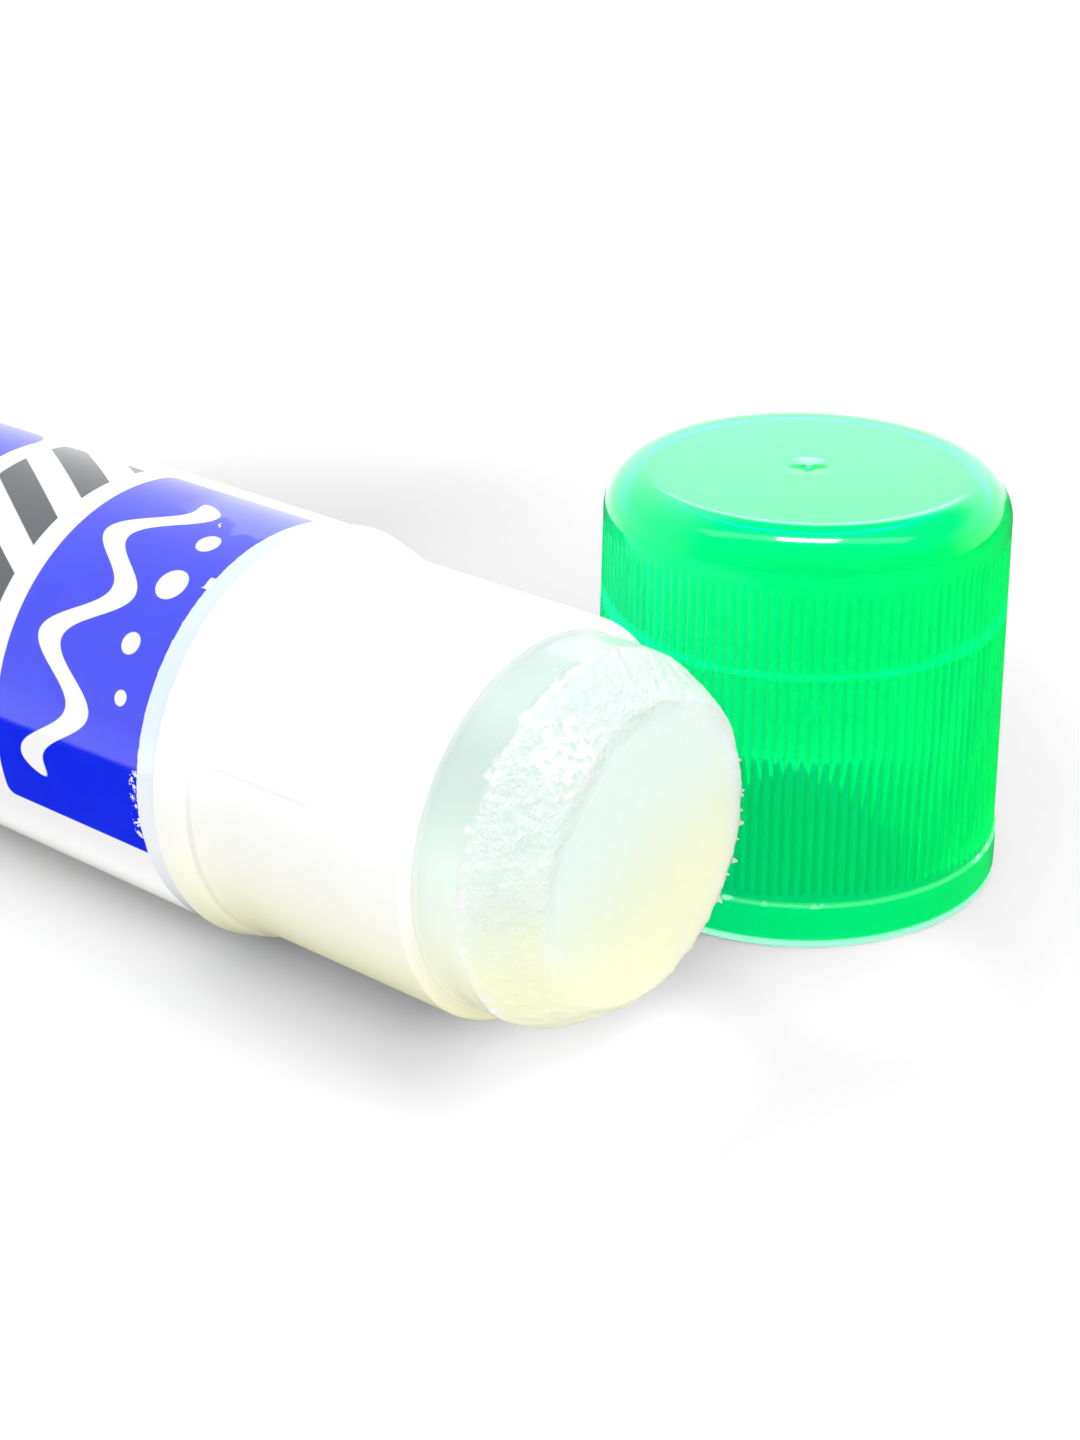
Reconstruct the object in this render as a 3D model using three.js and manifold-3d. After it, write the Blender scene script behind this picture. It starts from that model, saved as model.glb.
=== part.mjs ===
// A twist-up glue stick that lies on its side, with its cap off and standing beside the glue.
// Millimetres, +Z up. +X runs along the stick towards the glue. The origin is on the table,
// under the middle of the whole.
import * as THREE from "three";
import * as BufferGeometryUtils from "three/addons/utils/BufferGeometryUtils.js";
import Module from "manifold-3d";

const wasm = await Module();
wasm.setup();

// Driving sizes. Depths are measured from the mouth of the barrel back towards the knob.
const facets = 60;

const labelRadius = 15;
const barrelWall = 1.89;
const boreDepth = 87;
const neckWall = 0.93;
const neckLength = 19;
const neckLipBevel = 0.22;
const shoulderRadius = 2.4;
const labelThickness = 0.12;
const labelStart = 21.6;
const ringProud = 0.2;
const ringLength = 1.3;
const ringBevel = 0.25;
const floorThickness = 1.6;
const skirtDepth = 2.1;
const skirtWall = 1.8;
const keyWidth = 3;
const keyDepth = 0.4;
const keyAngle = 164;
const keyMouthDepth = 5.5;

const knobLength = 13;
const knobWall = 1.5;
const knobBaseThickness = 1.6;
const knobBevel = 0.6;
const spigotWall = 1;
const spigotHeight = 2;
const socketWall = 1.7;
const socketHeight = 11.6;

const threadPitch = 6;
const threadStepsPerTurn = 12;
const rodFacets = 24;
const carrierFacets = 36;
const threadRootWidth = 2.4;
const threadCrestWidth = 1.3;
const threadHeight = 1;
const spindleCoreRadius = 2.6;
const spindleShankRadius = 3;
const spindleJournalStep = 0.1;
const spindleCollarWidth = 2.8;
const spindleCollarThickness = 1.2;
const spindleTipDepth = 10.5;
const spindleTipBevel = 0.6;
const threadSink = 0.2;

const restTurns = 1.5;
const carrierWall = 1;
const carrierRimHeight = 5;
const carrierFloorThickness = 1.5;
const carrierHubWall = 2.1;
const carrierHubLength = 8;
const carrierTabLength = 2;

const glueReach = 7.2;
const glueBevelStart = 3.6;
const glueBevelWidth = 2.31;
const glueFaceShiftY = 2;
const glueFaceShiftZ = -0.8;

const capHeight = 31.24;
const capWall = 1.2;
const capDraft = 0.59;
const capFillet = 3.34;
const capTopThickness = 1.2;
const capInnerFillet = 2;
const capMouthBevel = 0.35;
const capCollarHeight = 3.4;
const capCollarProud = 0.08;
const capX = -0.5;
const capSideGap = 0.33;

const ribCount = 120;
const ribDepth = 0.18;

// Clearances
const fitGap = 0.3;
const labelGap = 0.02;
const parkGap = 0.5;
const glueBoreGap = 0.4;
const capGap = 0.15;
const capStepGap = 1.8;

// Sizes and places that follow, the places as X from the mouth
const boreRadius = labelRadius - barrelWall;
const neckRadius = boreRadius + neckWall;
const ringRadius = labelRadius + ringProud;
const recessRadius = labelRadius - labelThickness - labelGap;
const floorTopX = -boreDepth;
const floorUndersideX = floorTopX - floorThickness;
const barrelEndX = floorUndersideX - skirtDepth;
const recessStartX = -labelStart + fitGap;
const recessEndX = barrelEndX + ringLength;
const skirtRadius = ringRadius - skirtWall;
const spindleCrestRadius = spindleCoreRadius + threadHeight;
const spindleJournalRadius = spindleCrestRadius + spindleJournalStep;
const spindleCollarRadius = spindleJournalRadius + spindleCollarWidth;
const journalHoleRadius = spindleJournalRadius + fitGap;
const keyGrooveRadius = boreRadius + keyDepth;

const knobTopX = barrelEndX - fitGap;
const knobBaseX = knobTopX - knobLength;
const spigotRadius = skirtRadius - fitGap;
const spigotBoreRadius = spigotRadius - spigotWall;
const spigotTopX = knobTopX + spigotHeight - fitGap;
const socketRadius = spindleShankRadius + fitGap;
const socketTopX = knobBaseX + knobBaseThickness + socketHeight;
const socketFloorX = knobBaseX + knobBaseThickness + fitGap;

const collarUndersideX = floorTopX + fitGap;
const collarTopX = collarUndersideX + spindleCollarThickness;
const spindleTipX = -spindleTipDepth;

const carrierRadius = boreRadius - fitGap;
const hubEndX = collarTopX + parkGap + restTurns * threadPitch;
const carrierFloorX = hubEndX + carrierHubLength;
const carrierCupX = carrierFloorX + carrierFloorThickness;
const carrierRimX = carrierCupX + carrierRimHeight;
const cupRadius = carrierRadius - carrierWall;
const carrierHubRadius = spindleCrestRadius + fitGap + carrierHubWall;

const glueRadius = boreRadius - fitGap;
const glueFaceRadius = glueRadius - glueBevelWidth;
const glueBoreRadius = spindleCrestRadius + glueBoreGap;
const glueBoreEndX = spindleTipX + restTurns * threadPitch + fitGap;

const socketDepth = neckLength + capStepGap;
const capSocketRadius = neckRadius + capGap;
const capInnerRadius = boreRadius + capGap;
const capMouthRadius = capSocketRadius + capWall;
const capTopRadius = capMouthRadius - capDraft;
const capCollarRadius = capMouthRadius + capCollarProud;
const capY = ringRadius + capSideGap + capCollarRadius;
const capShoulderZ = capHeight - capFillet;

// Materials
const white = new THREE.MeshStandardMaterial({ color: 0xf4f5f0, roughness: 0.35, metalness: 0 });
const print = new THREE.MeshStandardMaterial({ color: 0x2b3fe0, roughness: 0.3, metalness: 0 });
const green = new THREE.MeshStandardMaterial({ color: 0x10d868, roughness: 0.2, metalness: 0 });
const natural = new THREE.MeshStandardMaterial({ color: 0xe8ebe4, roughness: 0.45, metalness: 0 });
const paste = new THREE.MeshStandardMaterial({ color: 0xeef6de, roughness: 0.3, metalness: 0 });

// Shapes
function toSolid(geometry) {
  geometry.deleteAttribute("normal");
  geometry.deleteAttribute("uv");
  const merged = BufferGeometryUtils.mergeVertices(geometry);
  const corners = merged.index.array;
  const triangles = [];
  for (let i = 0; i < corners.length; i += 3) {
    const [a, b, c] = [corners[i], corners[i + 1], corners[i + 2]];
    if (a !== b && b !== c && c !== a) triangles.push(a, b, c);
  }
  const vertProperties = Float32Array.from(merged.attributes.position.array);
  const triVerts = Uint32Array.from(triangles);
  return new wasm.Manifold(new wasm.Mesh({ numProp: 3, vertProperties, triVerts }));
}

function toMesh(name, solid, material) {
  const { vertProperties, triVerts } = solid.getMesh();
  const geometry = new THREE.BufferGeometry();
  geometry.setAttribute("position", new THREE.BufferAttribute(vertProperties, 3));
  geometry.setIndex(new THREE.BufferAttribute(triVerts, 1));
  geometry.computeVertexNormals();
  const mesh = new THREE.Mesh(geometry, material);
  mesh.name = name;
  return mesh;
}

// Turns a closed outline of [radius, distance along the axis] points round the Y axis
function turned(outline, sides = facets) {
  const points = outline.map(([radius, along]) => new THREE.Vector2(radius, along));
  const first = points[0];
  if (first.x > 0) points.push(first.clone());
  return new THREE.LatheGeometry(points, sides);
}

// The same, with the axis laid along X or stood along Z
const turnedAlongX = (outline, sides) => toSolid(turned(outline, sides).rotateZ(-Math.PI / 2));
const turnedAlongZ = (outline, sides) => toSolid(turned(outline, sides).rotateX(Math.PI / 2));

// Points on a quarter or part of a circle, in degrees from the radial direction
function arc(centreRadius, centreAlong, radius, fromDegrees, toDegrees, steps) {
  return Array.from({ length: steps + 1 }, (_, i) => {
    const angle = THREE.MathUtils.degToRad(fromDegrees + ((toDegrees - fromDegrees) * i) / steps);
    return [centreRadius + radius * Math.cos(angle), centreAlong + radius * Math.sin(angle)];
  });
}

// A closed skin over a row of sections that all have the same number of points
function skinned(sections) {
  const count = sections[0].length;
  const centre = (points) =>
    points.reduce((sum, p) => sum.add(p), new THREE.Vector3()).divideScalar(count);
  const vertices = sections.flat();
  const start = vertices.push(centre(sections[0])) - 1;
  const end = vertices.push(centre(sections.at(-1))) - 1;
  const last = (sections.length - 1) * count;
  const index = [];
  for (let j = 0; j < count; j++) {
    const k = (j + 1) % count;
    index.push(start, k, j, end, last + j, last + k);
    for (let row = 0; row < last; row += count) {
      index.push(row + j, row + k, row + count + k, row + j, row + count + k, row + count + j);
    }
  }
  const geometry = new THREE.BufferGeometry();
  const position = vertices.flatMap((v) => v.toArray());
  geometry.setAttribute("position", new THREE.Float32BufferAttribute(position, 3));
  geometry.setIndex(index);
  return toSolid(geometry);
}

// A circle of points round the Z axis, its radius a number or a function of the point's number
function circleOfPoints(count, radius, z) {
  return Array.from({ length: count }, (_, i) => {
    const angle = (2 * Math.PI * i) / count;
    const r = typeof radius === "function" ? radius(i) : radius;
    return new THREE.Vector3(r * Math.cos(angle), r * Math.sin(angle), z);
  });
}

// A band of fine ribs round the Z axis: every second point lies in a valley
function ribbedBand(fromZ, toZ, crestRadiusAt) {
  const ring = (z) => {
    const crest = crestRadiusAt(z);
    return circleOfPoints(2 * ribCount, (i) => (i % 2 ? crest - ribDepth : crest), z);
  };
  return skinned([ring(fromZ), ring(toZ)]);
}

// A left-hand screw thread along X, so that the knob's clockwise turn pushes the glue out
function screwThread(fromX, toX, gap) {
  const rootRadius = spindleCoreRadius - threadSink;
  const crestRadius = spindleCrestRadius + gap;
  const rootHalf = threadRootWidth / 2 + gap;
  const crestHalf = threadCrestWidth / 2 + gap;
  const stepLength = threadPitch / threadStepsPerTurn;
  const steps = Math.floor((toX - fromX) / stepLength);
  return skinned(
    Array.from({ length: steps + 1 }, (_, i) => {
      const x = fromX + i * stepLength;
      const angle = (-2 * Math.PI * (x - collarTopX)) / threadPitch + Math.PI / rodFacets;
      const corner = (radius, shift) =>
        new THREE.Vector3(x + shift, radius * Math.cos(angle), radius * Math.sin(angle));
      return [
        corner(rootRadius, rootHalf),
        corner(rootRadius, -rootHalf),
        corner(crestRadius, -crestHalf),
        corner(crestRadius, crestHalf),
      ];
    }),
  );
}

// A bar along X on each side of the axis, turned to the keys' angle
function keyBars(fromX, toX, width, reach) {
  const length = toX - fromX;
  const bar = (turn) => {
    const box = new THREE.BoxGeometry(length, reach, width);
    box.translate(fromX + length / 2, reach / 2, 0);
    return toSolid(box.rotateX(THREE.MathUtils.degToRad(keyAngle + turn)));
  };
  return bar(0).add(bar(180));
}

// Pieces on the stick's own axis
function makeBarrel() {
  const shoulderStartX = -neckLength - Math.sqrt(
    shoulderRadius ** 2 - (shoulderRadius - (ringRadius - neckRadius)) ** 2,
  );
  const shoulderSweep = THREE.MathUtils.radToDeg(
    Math.acos((shoulderRadius - (ringRadius - neckRadius)) / shoulderRadius),
  );
  const body = turnedAlongX([
    [skirtRadius, barrelEndX],
    [ringRadius - ringBevel, barrelEndX],
    [ringRadius, barrelEndX + ringBevel],
    [ringRadius, recessEndX],
    [recessRadius, recessEndX],
    [recessRadius, recessStartX],
    [ringRadius, recessStartX],
    ...arc(ringRadius - shoulderRadius, shoulderStartX, shoulderRadius, 0, shoulderSweep, 4),
    [neckRadius, -neckLipBevel],
    [neckRadius - neckLipBevel, 0],
    [boreRadius + neckLipBevel, 0],
    [boreRadius, -neckLipBevel],
    [boreRadius, floorTopX],
    [journalHoleRadius, floorTopX],
    [journalHoleRadius, floorUndersideX],
    [skirtRadius, floorUndersideX],
  ]);
  const grooves = keyBars(floorTopX + fitGap, -keyMouthDepth, keyWidth, keyGrooveRadius);
  return toMesh("barrel", body.subtract(grooves), white);
}

function makeLabel() {
  const film = turnedAlongX([
    [labelRadius - labelThickness, recessEndX + fitGap],
    [labelRadius, recessEndX + fitGap],
    [labelRadius, -labelStart],
    [labelRadius - labelThickness, -labelStart],
  ]);
  return toMesh("label", film, print);
}

function makeKnob() {
  const innerRadius = labelRadius - knobWall;
  const coreRadius = labelRadius - 2 * ribDepth;
  const body = turnedAlongZ([
    [0, knobBaseX],
    [coreRadius - knobBevel, knobBaseX],
    [coreRadius, knobBaseX + knobBevel],
    [coreRadius, knobTopX - knobBevel / 2],
    [coreRadius - knobBevel / 2, knobTopX],
    [spigotRadius, knobTopX],
    [spigotRadius, spigotTopX],
    [spigotBoreRadius, spigotTopX],
    [spigotBoreRadius, knobTopX - spigotWall],
    [innerRadius, knobTopX - spigotWall - (innerRadius - spigotBoreRadius)],
    [innerRadius, knobBaseX + knobBaseThickness],
    [socketRadius + socketWall, knobBaseX + knobBaseThickness],
    [socketRadius + socketWall, socketTopX],
    [socketRadius, socketTopX],
    [socketRadius, socketFloorX],
    [0, socketFloorX],
  ]);
  const ribs = ribbedBand(knobBaseX + 2 * knobBevel, knobTopX - knobBevel, () => labelRadius);
  const middle = labelRadius - knobWall / 2;
  const hollow = turnedAlongZ([
    [0, knobBaseX],
    [middle, knobBaseX],
    [middle, knobTopX],
    [0, knobTopX],
  ]);
  const knob = body.add(ribs.subtract(hollow));
  const mesh = toMesh("twist_knob", knob, green);
  mesh.rotation.y = Math.PI / 2;
  return mesh;
}

function makeSpindle() {
  const rod = turnedAlongX(
    [
      [0, socketFloorX + fitGap],
      [spindleShankRadius, socketFloorX + fitGap],
      [spindleShankRadius, socketTopX + fitGap],
      [spindleJournalRadius, socketTopX + fitGap],
      [spindleJournalRadius, collarUndersideX],
      [spindleCollarRadius, collarUndersideX],
      [spindleCollarRadius, collarTopX],
      [spindleCoreRadius, collarTopX],
      [spindleCoreRadius, spindleTipX - spindleTipBevel],
      [spindleCoreRadius - spindleTipBevel, spindleTipX],
      [0, spindleTipX],
    ],
    rodFacets,
  );
  const threadEnd = threadRootWidth / 2 + fitGap;
  const thread = screwThread(collarTopX + threadEnd, spindleTipX - threadEnd, 0);
  return toMesh("spindle", rod.add(thread), natural);
}

function makeCarrier() {
  const nutRadius = spindleCoreRadius + fitGap;
  const cup = turnedAlongX(
    [
      [nutRadius, hubEndX],
      [carrierHubRadius, hubEndX],
      [carrierHubRadius, carrierFloorX],
      [carrierRadius, carrierFloorX],
      [carrierRadius, carrierRimX],
      [cupRadius, carrierRimX],
      [cupRadius, carrierCupX],
      [nutRadius, carrierCupX],
    ],
    carrierFacets,
  );
  const reach = keyGrooveRadius - fitGap / 2;
  const tabs = keyBars(carrierFloorX, carrierFloorX + carrierTabLength, keyWidth - 2 * fitGap, reach);
  const middle = carrierRadius - carrierWall / 2;
  const hollow = turnedAlongX(
    [
      [0, hubEndX],
      [middle, hubEndX],
      [middle, carrierRimX],
      [0, carrierRimX],
    ],
    carrierFacets,
  );
  const internalThread = screwThread(hubEndX - threadPitch / 2, carrierCupX + threadPitch / 2, fitGap);
  const nut = cup.add(tabs.subtract(hollow)).subtract(internalThread);
  return toMesh("carrier", nut, natural);
}

function makeGlue() {
  const ring = (x, radius, shiftY, shiftZ) =>
    circleOfPoints(facets, radius, 0).map(
      (p) => new THREE.Vector3(x, shiftY + p.x, shiftZ + p.y),
    );
  const block = skinned([
    ring(carrierCupX + fitGap, cupRadius - fitGap, 0, 0),
    ring(carrierRimX + fitGap, cupRadius - fitGap, 0, 0),
    ring(carrierRimX + fitGap, glueRadius, 0, 0),
    ring(glueBevelStart, glueRadius, 0, 0),
    ring(glueReach, glueFaceRadius, glueFaceShiftY, glueFaceShiftZ),
  ]);
  const core = turnedAlongX(
    [
      [0, carrierCupX],
      [glueBoreRadius, carrierCupX],
      [glueBoreRadius, glueBoreEndX],
      [0, glueBoreEndX],
    ],
    rodFacets,
  );
  return toMesh("glue", block.subtract(core), paste);
}

function makeCap() {
  const radiusAt = (z) => capMouthRadius + ((capTopRadius - capMouthRadius) * z) / capShoulderZ;
  const collarTop = capCollarHeight;
  const ribbedFrom = collarTop + 2 * ribDepth;
  const ribbedTo = capShoulderZ - 2 * ribDepth;
  const coreAt = (z) => radiusAt(z) - 2 * ribDepth;
  const outside = turnedAlongZ([
    [0, 0],
    [capMouthRadius - capMouthBevel / 2, 0],
    [capCollarRadius, capMouthBevel / 2],
    [radiusAt(collarTop) + capCollarProud, collarTop],
    [coreAt(ribbedFrom), ribbedFrom],
    [coreAt(ribbedTo), ribbedTo],
    ...arc(capTopRadius - capFillet, capShoulderZ, capFillet, 0, 90, 5),
    [0, capHeight],
  ]);
  const ceilingZ = capHeight - capTopThickness;
  const inside = turnedAlongZ([
    [0, -capMouthBevel],
    [capSocketRadius + 2 * capMouthBevel, -capMouthBevel],
    [capSocketRadius, capMouthBevel],
    [capSocketRadius, socketDepth],
    [capInnerRadius, socketDepth],
    ...arc(capInnerRadius - capInnerFillet, ceilingZ - capInnerFillet, capInnerFillet, 0, 90, 3),
    [0, ceilingZ],
  ]);
  const ribs = ribbedBand(ribbedFrom - ribDepth / 2, ribbedTo + ribDepth / 2, radiusAt);
  return toMesh("cap", outside.add(ribs).subtract(inside), green);
}

// The whole, laid out as in use: the stick on its rings, the cap on its mouth
const stick = new THREE.Group();
stick.add(makeBarrel(), makeLabel(), makeKnob(), makeSpindle(), makeCarrier(), makeGlue());
stick.position.z = ringRadius;

const cap = makeCap();
cap.position.set(capX, capY, 0);

const glueStick = new THREE.Group();
glueStick.add(stick, cap);
const capEdgeX = capX + capCollarRadius;
const capEdgeY = capY + capCollarRadius;
glueStick.position.set(-(knobBaseX + capEdgeX) / 2, -(capEdgeY - ringRadius) / 2, 0);

export default glueStick;
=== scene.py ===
"""A twist-up glue stick lying on its side, with its ribbed cap standing beside it.

The file is laid out as an add-on: property groups for the sizes and colours, an operator for
each piece and one for the stage, and a panel that lists them. Lengths are in metres. The stick
lies along X, with its mouth towards +X, and places on it are depths behind the mouth.
"""

import math

import bmesh
import bpy
from bpy.props import FloatProperty, FloatVectorProperty, IntProperty, PointerProperty
from mathutils import Matrix, Quaternion, Vector, noise


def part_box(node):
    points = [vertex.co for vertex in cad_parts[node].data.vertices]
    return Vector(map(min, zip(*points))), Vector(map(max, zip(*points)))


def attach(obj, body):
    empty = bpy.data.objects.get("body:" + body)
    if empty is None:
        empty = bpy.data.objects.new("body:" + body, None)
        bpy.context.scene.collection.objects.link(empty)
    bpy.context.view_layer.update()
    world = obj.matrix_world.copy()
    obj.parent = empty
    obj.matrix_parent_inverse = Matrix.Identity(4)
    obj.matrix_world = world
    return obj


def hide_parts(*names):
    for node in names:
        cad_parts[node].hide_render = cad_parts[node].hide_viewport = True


bl_info = {
    "name": "Twist-up Glue Stick",
    "version": (1, 0, 0),
    "blender": (4, 5, 0),
    "location": "3D View > Sidebar > Glue Stick",
    "description": "Builds a twist-up glue stick with its ribbed cap beside it",
    "category": "Add Mesh",
}

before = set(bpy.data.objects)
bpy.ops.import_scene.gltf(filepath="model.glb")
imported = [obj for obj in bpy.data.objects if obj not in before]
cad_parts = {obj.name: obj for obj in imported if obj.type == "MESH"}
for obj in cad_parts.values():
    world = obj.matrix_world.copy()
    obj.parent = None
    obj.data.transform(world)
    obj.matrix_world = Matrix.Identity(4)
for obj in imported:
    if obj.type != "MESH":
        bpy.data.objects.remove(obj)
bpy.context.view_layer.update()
barrel_low, barrel_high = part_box("barrel")
cap_low, cap_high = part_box("cap")

MM = 0.001
TURN = 2 * math.pi
STICK_MOUTH = Vector((barrel_high.x, *((barrel_low + barrel_high) / 2).yz))
CAP_MOUTH = Vector((*((cap_low + cap_high) / 2).xy, cap_low.z))
ON_STICK = Matrix.Translation(STICK_MOUTH)
ON_CAP = Matrix.Translation(CAP_MOUTH) @ Matrix.Rotation(-math.pi / 2, 4, "Y")
# Steps round the tube and the label, and round the finer block of glue.
TUBE_STEPS = 240
GLUE_STEPS = 288
# Rings of the glue along its side near the mouth, on its worn bevel, and across its face.
SIDE_RINGS, BEVEL_RINGS, FACE_RINGS = 16, 22, 30
# Points nearer than this count as one place.
SAME_PLACE = 1e-6


def length(name, millimetres, description):
    """A length property with its default given in millimetres."""
    return FloatProperty(
        name=name,
        description=description,
        default=millimetres * MM,
        unit="LENGTH",
        precision=5,
    )


def bearing(name, degrees, description):
    """An angle property, its default in degrees round the stick's axis from +Y."""
    return FloatProperty(name=name, description=description, default=math.radians(degrees), subtype="ANGLE")


def amount(name, value, description):
    """A plain number property that is never below zero."""
    return FloatProperty(name=name, description=description, default=value, min=0.0)


def colour(name, red, green, blue, description):
    """A colour property, in linear values."""
    return FloatVectorProperty(
        name=name,
        description=description,
        default=(red, green, blue),
        subtype="COLOR",
        min=0.0,
        max=1.0,
    )


# Sizes and colours


class BarrelSizes(bpy.types.PropertyGroup):
    """The white tube with its neck and shoulder."""

    bore_radius: length("Bore radius", 13.11, "Inside of the tube")
    bore_depth: length("Bore depth", 87, "From the mouth to the floor of the tube")
    neck_radius: length("Neck radius", 14.04, "Outside of the neck that the cap slips over")
    neck_end: length("Neck end", 18.9, "Where the neck meets the shoulder")
    ring_radius: length("Ring radius", 15.2, "The shoulder and the end ring, which lie on the table")
    recess_radius: length("Recess radius", 14.86, "The tube under the label")
    recess_start: length("Recess start", 21.3, "Front step of the label recess")
    ring_length: length("End ring length", 1.3, "The ring behind the label")
    barrel_length: length("Tube length", 90.7, "From the mouth to the end of the skirt")
    skirt_radius: length("Skirt radius", 13.4, "Inside of the skirt that holds the knob")
    floor_thickness: length("Floor thickness", 1.6, "Floor of the tube")
    hole_radius: length("Journal hole radius", 4, "The hole for the spindle")
    key_width: length("Key width", 3, "The two grooves that guide the carrier")
    key_depth: length("Key depth", 0.4, "How deep the grooves are")
    key_angle: bearing("Key angle", 164, "Round the axis from +Y")
    lip_rounding: length("Lip rounding", 0.45, "Rounding of the mouth")
    plastic: colour("Plastic", 0.96, 0.965, 0.945, "The tube's own white")
    plastic_shade: colour("Plastic shade", 0.93, 0.935, 0.91, "Where the white is deeper")
    # painted shade: the yellowish tint of the neck's underside
    painted_underside_tint: colour("Lower tint", 0.97, 0.965, 0.60, "The yellowish tint of the neck's underside")


class LabelSizes(bpy.types.PropertyGroup):
    """The printed film round the tube."""

    film_radius: length("Film radius", 15, "Outside of the film")
    film_thickness: length("Film thickness", 0.12, "The film with its glue")
    film_start: length("Film start", 21.36, "Edge of the film near the neck")
    film_end: length("Film end", 89.1, "Edge of the film near the knob")
    print_start: length("Print start", 23.03, "Edge of the print near the neck")
    panel_end: length("Front panel end", 37.5, "Knob end of the first panel")
    second_start: length("Second panel start", 50.4, "Neck end of the second panel")
    second_end: length("Second panel end", 85.6, "Knob end of the second panel")
    panel_angle: bearing("Panel angle", 137, "Middle of the panels, round the axis from +Y")
    panel_half: length("Panel half width", 15.5, "Half of the panels' width, round the film")
    blue: colour("Blue", 0.0006, 0.018, 0.84, "The printed panels")
    grey: colour("Grey", 0.068, 0.08, 0.092, "The slanted bars")
    paper: colour("Ground", 0.95, 0.95, 0.945, "The film's white ground")
    margin: colour("Margin", 0.72, 0.84, 0.95, "The clear margin of the film")


class GlueSizes(bpy.types.PropertyGroup):
    """The block of glue and its worn end."""

    glue_radius: length("Radius", 13.08, "The block's round side")
    foot_radius: length("Foot radius", 11.51, "The part that sits in the carrier")
    foot_depth: length("Foot depth", 66.2, "The foot behind the mouth")
    cup_depth: length("Cup depth", 61.2, "Where the block leaves the carrier")
    core_radius: length("Core radius", 4, "The hole for the spindle")
    core_depth: length("Core depth", 1.2, "End of the hole behind the mouth")
    bevel_start: length("Bevel start", 3.6, "Where the worn bevel starts in front of the mouth")
    reach: length("Reach", 7.2, "The worn face in front of the mouth")
    face_radius: length("Face radius", 10.6, "The worn face")
    face_shift_y: length("Face shift Y", 2.0, "The worn face lies off the axis")
    face_shift_z: length("Face shift Z", -0.8, "The worn face lies off the axis")
    roughness_height: length("Tear height", 0.2, "How rough the torn bevel is")
    # the upper and lower colours are partly the glue's own tint and partly painted light: shade above,
    # yellow light below
    upper: colour("Upper glue", 0.575, 0.71, 0.67, "The cool upper part")
    middle: colour("Middle glue", 0.82, 0.96, 0.88, "The greenish middle")
    lower: colour("Lower glue", 0.915, 1.0, 0.65, "The pale yellow lower part")
    face_upper: colour("Upper face", 0.79, 0.94, 0.865, "The worn face, upper part")
    band: colour("Torn band", 0.80, 0.93, 0.89, "The torn bevel")
    # painted highlights: the colour of glints on the lumps and flakes
    wet: colour("Wet lumps", 0.99, 1.0, 0.99, "Lumps and flakes that catch the light")
    cluster: FloatVectorProperty(
        name="Wet cluster",
        description="Middle of the wet lumps, from the mouth",
        default=(5.9 * MM, -5.3 * MM, 8.9 * MM),
        unit="LENGTH",
        precision=5,
    )


class CapSizes(bpy.types.PropertyGroup):
    """The translucent cap, standing on its mouth."""

    cap_height: length("Height", 31.24, "From the mouth to the top")
    mouth_radius: length("Mouth radius", 15.47, "The smooth collar at the mouth")
    collar_height: length("Collar height", 3.4, "The smooth collar")
    rib_start: length("Rib start", 4.0, "Where the ribs begin")
    rib_end: length("Rib end", 27.6, "Where the ribs fade out")
    wall_radius: length("Wall radius", 15.31, "The wall just above the collar")
    top_radius: length("Top radius", 14.8, "The wall just under the rounded edge")
    top_rounding: length("Top rounding", 3.34, "The rounded edge of the top")
    socket_radius: length("Socket radius", 14.19, "Inside of the mouth")
    socket_depth: length("Socket depth", 20.8, "The step inside, beyond the tube's lip")
    inner_radius: length("Inner radius", 13.26, "Inside above the step")
    ceiling: length("Ceiling", 30.04, "Inside height")
    rib_depth: length("Rib depth", 0.16, "How deep the grooves between ribs are")
    deep_ribs_end: length("Deep ribs end", 13.9, "The grooves are deeper below this height")
    rib_count: IntProperty(name="Ribs", description="Ribs round the cap and the knob", default=120, min=12)
    plastic: colour("Plastic", 0.0, 0.98, 0.32, "The green plastic of the cap and the knob")
    plastic_deep: colour("Deep plastic", 0.0, 0.95, 0.28, "Where the green is deeper")
    # painted shade: the groove colour darkens the grooves, the lower wall and the rounded edge
    groove: colour("Grooves", 0.0, 0.52, 0.16, "The bottom of the grooves")
    # painted glow: an emission that stands for light scattered in the plastic
    glow: colour("Glow", 0.0, 0.14, 0.035, "Light that the plastic scatters inside")
    # painted highlights: the colour of the collar's and the rim's edges
    edge_light: colour("Edges", 0.45, 1.0, 0.72, "Edges that catch the light")


class KnobSizes(bpy.types.PropertyGroup):
    """The ribbed knob that turns the spindle."""

    grip_radius: length("Grip radius", 15, "Outside of the ribs")
    knob_top: length("Knob top", 91, "The shoulder under the tube, behind the mouth")
    knob_base: length("Knob base", 104, "The flat base, behind the mouth")
    spigot_radius: length("Spigot radius", 13.1, "The ring that snaps into the skirt")
    spigot_top: length("Spigot top", 89.3, "End of the spigot")
    bore_radius: length("Bore radius", 12.1, "Inside of the spigot")
    inner_radius: length("Inner radius", 13.5, "Inside of the grip")
    base_thickness: length("Base thickness", 1.6, "The flat base")
    socket_radius: length("Socket radius", 3.3, "The socket for the spindle")
    socket_wall: length("Socket wall", 1.7, "Wall of the socket")
    socket_top: length("Socket top", 90.8, "End of the socket, behind the mouth")


class ScrewSizes(bpy.types.PropertyGroup):
    """The spindle and the carrier inside the tube."""

    natural: colour("Natural plastic", 0.86, 0.875, 0.84, "The unpainted mechanism")
    natural_shade: colour("Shade", 0.74, 0.755, 0.71, "Where the plastic is deeper")


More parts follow.
